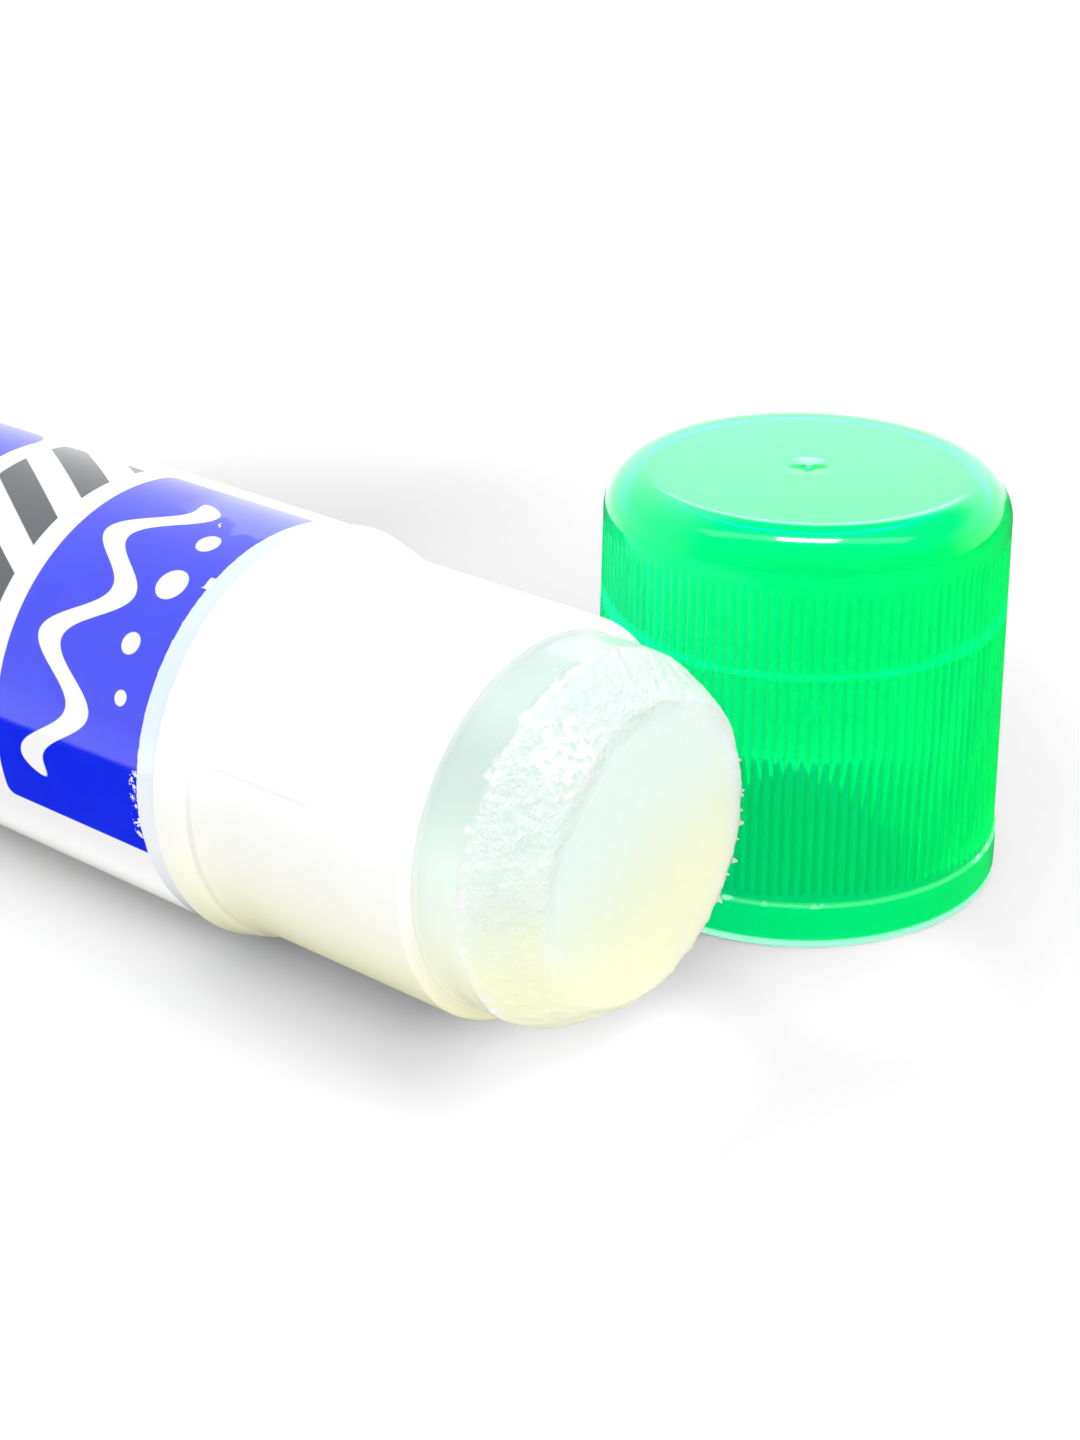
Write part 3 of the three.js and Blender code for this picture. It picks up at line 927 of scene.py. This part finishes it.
class GLUESTICK_OT_barrel(bpy.types.Operator):
    """Adds the white tube"""

    bl_idname = "glue_stick.barrel"
    bl_label = "Barrel"

    def execute(self, context):
        s = context.scene.glue_stick_barrel
        floor, end = -s.bore_depth, -s.barrel_length
        under = floor - s.floor_thickness
        ring_edge = end + s.ring_length
        neck, ring, bore = s.neck_radius, s.ring_radius, s.bore_radius
        foot = -s.neck_end
        outline = [
            (end, s.skirt_radius),
            (end, ring),
            (ring_edge, ring),
            (ring_edge, s.recess_radius),
            (-s.recess_start, s.recess_radius),
            (-s.recess_start, ring - 0.04 * MM),
            (foot - 1.75 * MM, ring - 0.24 * MM),
            (foot - 1.15 * MM, ring - 0.36 * MM),
            (foot - 0.60 * MM, ring - 0.52 * MM),
            (foot - 0.20 * MM, ring - 0.68 * MM),
            (foot, ring - 0.79 * MM),
            (foot + 0.02 * MM, neck + 0.31 * MM),
            (foot + 0.45 * MM, neck + 0.20 * MM),
            (foot + 1.0 * MM, neck + 0.11 * MM),
            (foot + 1.9 * MM, neck + 0.04 * MM),
            (foot + 3.2 * MM, neck),
            (-14.6 * MM, neck),
            (-8.8 * MM, neck),
            (-7.6 * MM, neck),
            (0, neck),
            (0, bore),
            (-5.5 * MM, bore),
            (-5.8 * MM, bore),
            (floor + 0.3 * MM, bore),
            (floor, bore),
            (floor, s.hole_radius),
            (under, s.hole_radius),
            (under, s.skirt_radius),
        ]
        bm = turned(outline, TUBE_STEPS)
        # the two grooves that guide the carrier
        half_key = s.key_width / 2 / bore
        for v in bm.verts:
            radius, angle = around(v.co)
            if abs(radius - bore) < SAME_PLACE and floor < v.co.x < -5.6 * MM:
                if abs(math.remainder(angle - s.key_angle, math.pi)) < half_key:
                    moved_out(v, s.key_depth)
        rounded(
            bm,
            [
                (0, neck, s.lip_rounding),
                (0, bore, 0.03 * MM),
                (end, ring, 0.3 * MM),
                (ring_edge, ring, 0.12 * MM),
            ],
        )
        # the mould's parting line stands a hair proud along the neck
        for v in bm.verts:
            radius, angle = around(v.co)
            on_neck = radius > neck - SAME_PLACE and -17 * MM < v.co.x < -8.5 * MM
            if on_neck and abs(math.remainder(angle - s.key_angle, TURN)) < 0.4 * TURN / TUBE_STEPS:
                moved_out(v, 0.03 * MM)
        finished(bm, "barrel_tube", barrel_plastic(s), "barrel", ["barrel"], ON_STICK)
        return {"FINISHED"}


class GLUESTICK_OT_label(bpy.types.Operator):
    """Adds the printed film round the tube"""

    bl_idname = "glue_stick.label"
    bl_label = "Label"

    def execute(self, context):
        s = context.scene.glue_stick_label
        inside = s.film_radius - s.film_thickness
        outline = [
            (-s.film_end, inside),
            (-s.film_end, s.film_radius),
            (-s.film_start, s.film_radius),
            (-s.film_start, inside),
        ]
        bm = turned(outline, TUBE_STEPS)
        rounded(bm, [(-edge, s.film_radius, 0.05 * MM) for edge in (s.film_start, s.film_end)], 2)
        finished(bm, "label_film", printed_film(s), "barrel", ["label"], ON_STICK)
        return {"FINISHED"}


class GLUESTICK_OT_glue(bpy.types.Operator):
    """Adds the block of glue with its worn end"""

    bl_idname = "glue_stick.glue"
    bl_label = "Glue"

    def execute(self, context):
        s = context.scene.glue_stick_glue
        side = [-s.cup_depth + (s.cup_depth - 2 * MM) * i / 4 for i in range(5)]
        side += [-2 * MM + (s.bevel_start + 2 * MM) * i / SIDE_RINGS for i in range(1, SIDE_RINGS + 1)]
        along, inwards = s.reach - s.bevel_start, s.face_radius - s.glue_radius
        bevel = [i / BEVEL_RINGS for i in range(1, BEVEL_RINGS + 1)]
        face = [s.face_radius * (1 - i / FACE_RINGS) for i in range(1, FACE_RINGS + 1)]
        outline = [
            (-s.core_depth, 0),
            (-s.core_depth, s.core_radius),
            (-s.foot_depth, s.core_radius),
            (-s.foot_depth, s.foot_radius),
            (-s.cup_depth, s.foot_radius),
            *[(place, s.glue_radius) for place in side],
            *[(s.bevel_start + along * share, s.glue_radius + inwards * share) for share in bevel],
            *[(s.reach, radius) for radius in face],
        ]
        bm = turned(outline, GLUE_STEPS, closed=False)
        for v in bm.verts:
            in_core = v.co.x < 0 and around(v.co)[0] < s.glue_radius - SAME_PLACE
            if v.co.x > -1.9 * MM and not in_core:
                v.co = worn_place(v.co, s)
        self.add_teeth(bm, s)
        finished(bm, "glue_block", glue_paste(s), "carriage", ["glue"], ON_STICK, sharp=70)
        return {"FINISHED"}

    def add_teeth(self, bm, s):
        """Small torn points that stand out along the far rim."""
        for degrees, size in RIM_TEETH:
            angle = math.radians(degrees)
            outwards = Vector((0.45, 0.9 * math.cos(angle), 0.9 * math.sin(angle))).normalized()
            near = [v.co for v in bm.verts if v.co.x > 3 * MM and abs(around(v.co)[1] - angle) < 0.03]
            foot = max(near, key=outwards.dot) + 0.10 * MM * outwards
            turn = Vector((0, 0, 1)).rotation_difference(outwards).to_matrix().to_4x4()
            tooth = bmesh.ops.create_cone(
                bm,
                cap_ends=True,
                segments=7,
                radius1=0.25 * MM * size,
                radius2=0.10 * MM * size,
                depth=0.42 * MM * size,
                matrix=Matrix.Translation(foot) @ turn,
            )["verts"]
            for v in tooth:
                moved_out(v, min(0.0, s.glue_radius - around(v.co)[0]))


# The torn points on the far rim: angle from +Y in degrees, and relative size.
RIM_TEETH = (
    (17, 0.5), (9, 0.9), (6.5, 0.5), (-1, 0.5), (-4.5, 1.0), (-7.5, 0.6), (-14, 0.9), (-17, 0.4),
    (-25, 0.8), (-28.5, 0.4), (-36.5, 0.9), (-40, 0.4), (-49.5, 0.6), (-58, 0.4),
)
# The far rim is drawn in by this length at this angle, fading to nothing over this spread in degrees.
FAR_DRAWN_IN, FAR_RIM, FAR_SPREAD = 0.34 * MM, -14, 105

# Where the block's round side ends in front of the mouth (angle from +Y in degrees, millimetres):
# the glue is worn down towards the camera side and stands up to a sharp edge on the far side.
WORN_EDGE = (
    (-180, 3.9), (-150, 3.7), (-130, 3.6), (-112, 4.1), (-96, 4.5), (-85, 5.6), (-66, 6.5), (-49, 6.9),
    (-25, 7.1), (-14, 6.7), (-4, 6.1), (10, 5.5), (18, 5.0), (40, 4.5), (80, 4.1), (180, 3.9),
)


def worn_edge(angle):
    """Height of the worn edge at this angle, on a straight line between the measured places."""
    degrees = math.degrees(math.remainder(angle, TURN))
    for (low, first), (high, second) in zip(WORN_EDGE, WORN_EDGE[1:]):
        if degrees <= high:
            share = (degrees - low) / (high - low)
            return (first + (second - first) * share) * MM
    return WORN_EDGE[-1][1] * MM


def lobe(angle, middle, spread):
    """1 at the middle angle and 0 beyond the spread, in degrees."""
    off = abs(math.remainder(math.degrees(angle) - middle, 360)) / spread
    return 0.5 + 0.5 * math.cos(math.pi * off) if off < 1 else 0.0


def ring_noise(angle, offset, scale):
    """A noise value that closes on itself round the axis."""
    return noise.noise(Vector((math.cos(angle), math.sin(angle), offset)) * scale)


def worn_side(co, s, angle, edge):
    """Where a point of the block's round side lies, stretched or shortened to the worn edge."""
    low = -2 * MM
    along = low + (co.x - low) * (edge - low) / (s.bevel_start - low)
    near_edge = max(0.0, 1 - (edge - along) / (1.2 * MM))
    ahead = min(1.0, max(0.0, along / MM - 0.2))
    folds = lobe(angle, -128, 46) * ahead * (0.5 + 0.5 * math.sin(along / MM * 4.6 + angle * 5))
    drawn_in = lobe(angle, FAR_RIM, FAR_SPREAD) * near_edge
    lumps = 0.20 * MM * ring_noise(angle, 0.7, 19)
    inwards = 0.32 * MM * folds + (FAR_DRAWN_IN - lumps) * drawn_in
    wander = 0.22 * MM * ring_noise(angle, 0, 9) * near_edge
    outwards = Vector((0, co.y, co.z)).normalized()
    return Vector((along + wander, co.y, co.z)) - outwards * inwards


def worn_place(co, s):
    """Where a point of the plain bevelled block lies on the worn glue."""
    radius, angle = around(co)
    # the worn face tilts up to a sharp edge on the side away from the bevel
    edge = sum(worn_edge(angle + math.radians(step)) for step in (-6, -3, 0, 3, 6)) / 5
    # 0 at the outer end of the bevel, 1 on the face
    t = min(1.0, (s.glue_radius - radius) / (s.glue_radius - s.face_radius))
    if t < 1e-4:
        return worn_side(co, s, angle, edge)
    # beads on the ridge, and burrs that stand forward on the far edge
    bead = max(0.0, noise.noise(co / MM * 1.7)) ** 2 * max(0.0, 1 - t / 0.18)
    far = lobe(angle, -12, 60)
    burr = max(0.0, noise.noise(Vector((math.degrees(angle) * 0.55, radius / MM * 0.4, 3.0))) - 0.12)
    forward = 0.5 * MM * bead * (1 - far) + 1.7 * MM * far * burr * max(0.0, 1 - abs(t - 0.12) / 0.2)
    along = forward + edge + (s.reach - edge) * (1 - (1 - t) ** 1.3)
    # the worn face lies off the axis, and its outline waves
    place = Vector((along, co.y, co.z)) + Vector((0, s.face_shift_y, s.face_shift_z)) * t
    if radius > SAME_PLACE:
        wave = 0.45 * MM * ring_noise(angle, 0.4, 2.6) * t * min(1.0, radius / s.face_radius) ** 3
        place += Vector((0, co.y, co.z)).normalized() * wave
    # torn lumps and layers on the bevel, and a faintly domed face
    below_rim = s.face_radius - radius
    inner = max(0.0, 1 - below_rim / (1.2 * MM)) if t >= 1 else 1.0
    rough = math.sin(math.pi * t) + 0.2 * t * inner
    point = place / MM
    torn = noise.fractal(point * 1.1, 0.7, 2.1, 4) * 0.8 + 0.5 * noise.noise(point * 3.1)
    steps = math.floor(3 * t + 0.9 * noise.noise(point * 0.6)) / 3 - t
    layers = (lobe(angle, 48, 45) + lobe(angle, -118, 42)) * math.sin(math.pi * t)
    place.x += s.roughness_height * rough * torn + 0.45 * layers * steps * (s.reach - edge) / 3
    dome = below_rim / s.face_radius if t >= 1 else 0.0
    place.x += 0.08 * MM * dome + 0.05 * MM * noise.noise(point * 0.25)
    # nothing stands out past the drawn-in rim
    reach = math.hypot(place.y, place.z)
    limit = s.glue_radius - FAR_DRAWN_IN * lobe(angle, FAR_RIM, FAR_SPREAD)
    if reach > limit:
        place.y *= limit / reach
        place.z *= limit / reach
    return place


class GLUESTICK_OT_cap(bpy.types.Operator):
    """Adds the ribbed cap, standing on its mouth"""

    bl_idname = "glue_stick.cap"
    bl_label = "Cap"

    def execute(self, context):
        s = context.scene.glue_stick_cap
        flat = s.top_radius - s.top_rounding

        def wall(height):
            share = (height - s.collar_height) / (s.cap_height - s.top_rounding - s.collar_height)
            return s.wall_radius + (s.top_radius - s.wall_radius) * share

        socket, top = s.socket_radius, s.cap_height
        ribs = (
            s.rib_start,
            s.rib_start + 0.5 * MM,
            s.deep_ribs_end - 4 * MM,
            s.deep_ribs_end + 1 * MM,
            s.rib_end - 0.8 * MM,
            s.rib_end,
        )
        outline = [
            (s.ceiling, 0),
            (s.ceiling, s.inner_radius),
            (s.socket_depth, s.inner_radius),
            (s.socket_depth, socket),
            (0.6 * MM, socket),
            (0, socket + 0.5 * MM),
            (0, s.mouth_radius),
            (s.collar_height, s.mouth_radius - 0.02 * MM),
            (s.collar_height + 0.07 * MM, wall(s.collar_height)),
            *[(height, wall(height)) for height in ribs],
            (top, s.top_radius),
            (top, flat - 0.3 * MM),
            # the dimple with the cut sprue in the middle of the top
            (top, 2.4 * MM),
            (top - 0.03 * MM, 1.7 * MM),
            (top - 0.09 * MM, 1.0 * MM),
            (top - 0.10 * MM, 0.7 * MM),
            (top - 0.02 * MM, 0.5 * MM),
            (top + 0.12 * MM, 0.38 * MM),
            (top + 0.19 * MM, 0.2 * MM),
            (top + 0.2 * MM, 0),
        ]
        bm = turned(outline, 6 * s.rib_count, closed=False)
        fluted(bm, s.inner_radius + 1.0 * MM, s.rib_start, s.rib_end, s, s.deep_ribs_end)
        rounded(bm, [(top, s.top_radius, s.top_rounding)], 12)
        rounded(bm, [(s.ceiling, s.inner_radius, 2 * MM)], 6)
        rounded(
            bm,
            [
                (s.socket_depth, s.inner_radius, 0.2 * MM),
                (s.socket_depth, socket, 0.15 * MM),
                (0, s.mouth_radius, 0.3 * MM),
                (0, socket + 0.5 * MM, 0.1 * MM),
            ],
            3,
        )
        finished(bm, "cap_shell", cap_plastic(s), "cap", ["cap"], ON_CAP)
        return {"FINISHED"}


class GLUESTICK_OT_knob(bpy.types.Operator):
    """Adds the ribbed knob"""

    bl_idname = "glue_stick.knob"
    bl_label = "Knob"

    def execute(self, context):
        s, cap = context.scene.glue_stick_knob, context.scene.glue_stick_cap
        base, top = -s.knob_base, -s.knob_top
        inside = base + s.base_thickness
        wall = s.socket_radius + s.socket_wall
        outline = [
            (base, 0),
            (base, 8.6 * MM),
            (base + 0.3 * MM, 8.8 * MM),
            (base + 0.3 * MM, 9.6 * MM),
            (base, 9.8 * MM),
            (base, s.grip_radius),
            (base + 1.0 * MM, s.grip_radius),
            (base + 1.5 * MM, s.grip_radius),
            (top - 1.1 * MM, s.grip_radius),
            (top - 0.6 * MM, s.grip_radius),
            (top, s.grip_radius),
            (top, s.spigot_radius),
            (-s.spigot_top, s.spigot_radius),
            (-s.spigot_top, s.bore_radius),
            (top - 1.0 * MM, s.bore_radius),
            (top - 2.4 * MM, s.inner_radius),
            (inside, s.inner_radius),
            (inside, wall),
            (-s.socket_top, wall),
            (-s.socket_top, s.socket_radius),
            (inside + 0.3 * MM, s.socket_radius),
            (inside + 0.3 * MM, 0),
        ]
        bm = turned(outline, 6 * cap.rib_count, closed=False)
        fluted(bm, s.inner_radius + 0.5 * MM, base + 1.0 * MM, top - 0.6 * MM, cap)
        rounded(bm, [(base, s.grip_radius, 0.6 * MM), (top, s.grip_radius, 0.35 * MM)])
        finished(bm, "knob_grip", knob_plastic(cap), "knob", ["twist_knob"], ON_STICK)
        return {"FINISHED"}


class GLUESTICK_OT_screw(bpy.types.Operator):
    """Finishes the spindle and the carrier"""

    bl_idname = "glue_stick.screw"
    bl_label = "Spindle and Carrier"

    def execute(self, context):
        s = context.scene.glue_stick_screw
        for node in ("spindle", "carrier"):
            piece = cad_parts[node]
            piece.data.materials.clear()
            piece.data.materials.append(natural_plastic(s, f"natural {node} plastic"))
        return {"FINISHED"}


# Stage


def seen(path):
    """1 for camera, glossy and transmission rays, which see the white backdrop."""
    return highest(path["Is Camera Ray"], path["Is Glossy Ray"], path["Is Transmission Ray"])


def soft_lamp(name, place, aim, size, watts, mirrored=False, turn=0.0):
    """A soft rectangular lamp that faces a point; a mirrored one only shows in glossy faces."""
    lamp = bpy.data.lights.new(name, "AREA")
    lamp.shape = "RECTANGLE"
    lamp.size, lamp.size_y = size
    lamp.energy = watts
    holder = bpy.data.objects.new(name, lamp)
    holder.location = place
    holder.rotation_mode = "QUATERNION"
    towards = (Vector(aim) - Vector(place)).to_track_quat("-Z", "Y")
    holder.rotation_quaternion = Quaternion((0, 0, 1), turn) @ towards
    holder.visible_glossy = mirrored
    holder.visible_diffuse = not mirrored
    holder.visible_transmission = not mirrored
    bpy.context.scene.collection.objects.link(holder)


class GLUESTICK_OT_stage(bpy.types.Operator):
    """Adds the floor, the lamps and the camera"""

    bl_idname = "glue_stick.stage"
    bl_label = "Stage"

    def execute(self, context):
        scene = context.scene
        s = scene.glue_stick_stage
        self.add_floor(scene, s)
        self.add_surroundings(scene, s)
        soft_lamp("key softbox", (0.24, 0.12, 0.50), (0.02, 0, 0), (0.40, 0.40), s.key)
        soft_lamp("front fill", (0.36, -0.20, 0.26), (0, 0, 0.01), (0.30, 0.20), s.front)
        soft_lamp("low fill", (-0.16, -0.45, 0.10), (-0.02, 0, 0.01), (0.30, 0.16), s.low)
        overhead, under, turn = (0.05, 0.015, 0.45), (0.05, 0.015, 0.0), math.radians(33)
        soft_lamp("overhead spark", overhead, under, (0.13, 0.06), s.spark, True, turn)
        soft_lamp("overhead strip", overhead, under, (0.62, 0.10), s.strip, True, turn)
        self.add_camera(scene)
        scene.view_settings.view_transform = "Standard"
        return {"FINISHED"}

    def add_floor(self, scene, s):
        bm = bmesh.new()
        bmesh.ops.create_circle(bm, cap_ends=True, segments=64, radius=4.0)
        mesh = bpy.data.meshes.new("floor")
        bm.to_mesh(mesh)
        bm.free()
        material, shader = new_material("pale floor", Roughness=0.9, Specular_IOR_Level=0.0)
        x, y, _ = parted(placed(shader.id_data, (0, 0, 0)))
        path = light_path(shader.id_data)
        away = distance(x, y)
        # places where the photograph's floor is lighter than these lamps make it
        lift = s.floor_lift
        for spot_x, spot_y, outer, inner, level in (
            (0.050, -0.017, 0.014, 0.004, 0.25),
            (0.0585, 0.002, 0.013, 0.004, 0.14),
            (0.0, 0.056, 0.034, 0.006, 0.13),
        ):
            lift = lift + ramped(distance(x - spot_x, y - spot_y), outer, inner) * level
        lift = lift + ramped(y, -0.020, -0.036) * 0.26
        far = ramped(away, 0.05, 0.14) * seen(path)
        shown = far + lift + path["Is Transmission Ray"] * s.under_cap
        # glossy faces mirror a dim floor near the object and a bright one farther off
        dim = highest(ramped(away, 0.088, 0.080), ramped(x, -0.01, 0.03))
        bright = (1.0 - dim) * (s.mirrored - 0.5)
        glossy = path["Is Glossy Ray"]
        shader.inputs["Emission Color"].default_value = (1, 1, 1, 1)
        plug(shader.inputs["Emission Strength"], shown + glossy * (bright - shown))
        plug(shader.inputs["Base Color"], mixed(dim * glossy * 0.92, s.floor_colour, (0, 0, 0)))
        mesh.materials.append(material)
        floor = bpy.data.objects.new("floor", mesh)
        scene.collection.objects.link(floor)

    def add_surroundings(self, scene, s):
        world = bpy.data.worlds.new("white surroundings")
        world.use_nodes = True
        tree = world.node_tree
        path = light_path(tree)
        x, y, z = parted(values_of(tree.nodes.new("ShaderNodeTexCoord").outputs)["Generated"])
        level = s.ambient + seen(path) * (1.0 - s.ambient)
        # glossy faces mirror a dim room on the right and bright surroundings on the left and behind
        dim_room = 0.08
        left = ramped(x, -0.44, -0.66) * (s.mirrored - dim_room)
        behind = ramped(y, 0.44, 0.76) * ramped(z, 0.64, 0.47)
        edge = ramped(z, 0.41, 0.45) * ramped(y, 0.62, 0.68) * within(x, -0.66, -0.58, -0.40, -0.22)
        mirrored = highest(left, behind * (s.mirrored + 0.1)) + edge * behind * s.backdrop_edge + dim_room
        level = level + path["Is Glossy Ray"] * (mirrored - level)
        level = level + path["Is Transmission Ray"] * (s.through_cap - 1.0)
        background = tree.nodes["Background"]
        background.inputs["Color"].default_value = (1, 1, 1, 1)
        plug(background.inputs["Strength"], level)
        scene.world = world

    def add_camera(self, scene):
        # fitted to the photograph, with the focal length in pixels of its long side
        camera = bpy.data.cameras.new("photograph")
        camera.sensor_width = 36.0
        camera.lens = 2472.584 / 1440 * 36.0
        camera.clip_start, camera.clip_end = 0.01, 20.0
        holder = bpy.data.objects.new("photograph", camera)
        turn, down, roll = math.radians(39.2607), math.radians(25.796), math.radians(-0.1988)
        holder.matrix_world = (
            Matrix.Translation((0.135731, -0.127604, 0.092453))
            @ Matrix.Rotation(turn, 4, "Z")
            @ Matrix.Rotation(math.pi / 2 - down, 4, "X")
            @ Matrix.Rotation(roll, 4, "Z")
        )
        scene.collection.objects.link(holder)
        scene.camera = holder


PROPERTIES = {
    "glue_stick_barrel": BarrelSizes,
    "glue_stick_label": LabelSizes,
    "glue_stick_glue": GlueSizes,
    "glue_stick_cap": CapSizes,
    "glue_stick_knob": KnobSizes,
    "glue_stick_screw": ScrewSizes,
    "glue_stick_stage": StageSettings,
}
OPERATORS = (
    GLUESTICK_OT_barrel,
    GLUESTICK_OT_label,
    GLUESTICK_OT_glue,
    GLUESTICK_OT_screw,
    GLUESTICK_OT_knob,
    GLUESTICK_OT_cap,
    GLUESTICK_OT_stage,
)


class GLUESTICK_PT_panel(bpy.types.Panel):
    """The pieces, with their sizes and colours"""

    bl_idname = "GLUESTICK_PT_panel"
    bl_label = "Glue Stick"
    bl_space_type = "VIEW_3D"
    bl_region_type = "UI"
    bl_category = "Glue Stick"

    def draw(self, context):
        layout = self.layout
        for operator in OPERATORS:
            layout.operator(operator.bl_idname)
        for name, kind in PROPERTIES.items():
            box = layout.box()
            box.label(text=name.replace("glue_stick_", "").capitalize())
            for field in kind.__annotations__:
                box.prop(getattr(context.scene, name), field)


def register():
    for kind in (*PROPERTIES.values(), *OPERATORS, GLUESTICK_PT_panel):
        bpy.utils.register_class(kind)
    for name, kind in PROPERTIES.items():
        setattr(bpy.types.Scene, name, PointerProperty(type=kind))


def unregister():
    for name in PROPERTIES:
        delattr(bpy.types.Scene, name)
    for kind in reversed((*PROPERTIES.values(), *OPERATORS, GLUESTICK_PT_panel)):
        bpy.utils.unregister_class(kind)


def main():
    register()
    bpy.ops.glue_stick.barrel()
    bpy.ops.glue_stick.label()
    bpy.ops.glue_stick.glue()
    bpy.ops.glue_stick.screw()
    bpy.ops.glue_stick.knob()
    bpy.ops.glue_stick.cap()
    bpy.ops.glue_stick.stage()


if __name__ == "__main__":
    main()
